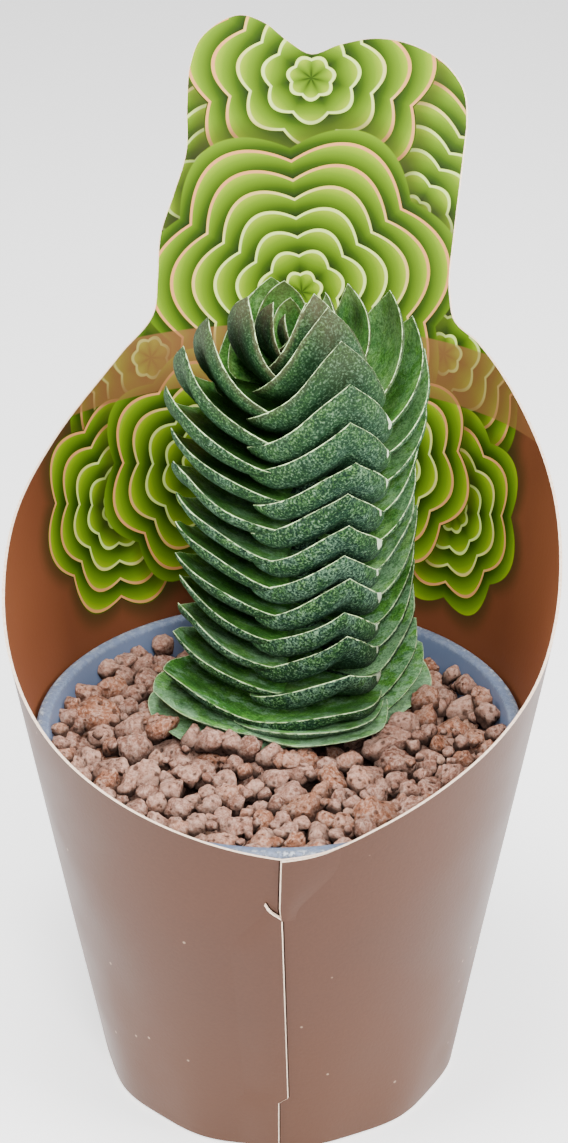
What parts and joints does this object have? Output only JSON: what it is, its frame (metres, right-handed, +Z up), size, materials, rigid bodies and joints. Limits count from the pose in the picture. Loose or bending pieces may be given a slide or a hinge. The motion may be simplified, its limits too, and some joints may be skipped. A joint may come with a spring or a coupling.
{
  "type": "potted succulent in a card sleeve",
  "caption": "Succulent with a square column of stacked leaves, in a round nursery pot dressed with lava gravel and wrapped in a tall-backed die-cut card sleeve.",
  "frame": {"origin": "centre of the pot's flat base", "axes": "+Z up, -Y towards the low front of the sleeve, +Y towards its tall back panel, +X to the right seen from the front"},
  "size_m": [0.0954, 0.1045, 0.1769],
  "materials": {
    "card": "satin print outside, matt print inside",
    "pot_plastic": "satin",
    "soil": "matt",
    "lava": "rough",
    "leaf": "satin"
  },
  "bodies": {
    "root": {"pot": "pot_plastic", "potting_soil": "soil", "gravel": "lava", "leafy_stem": "leaf", "sleeve": "card"}
  },
  "joints": []
}
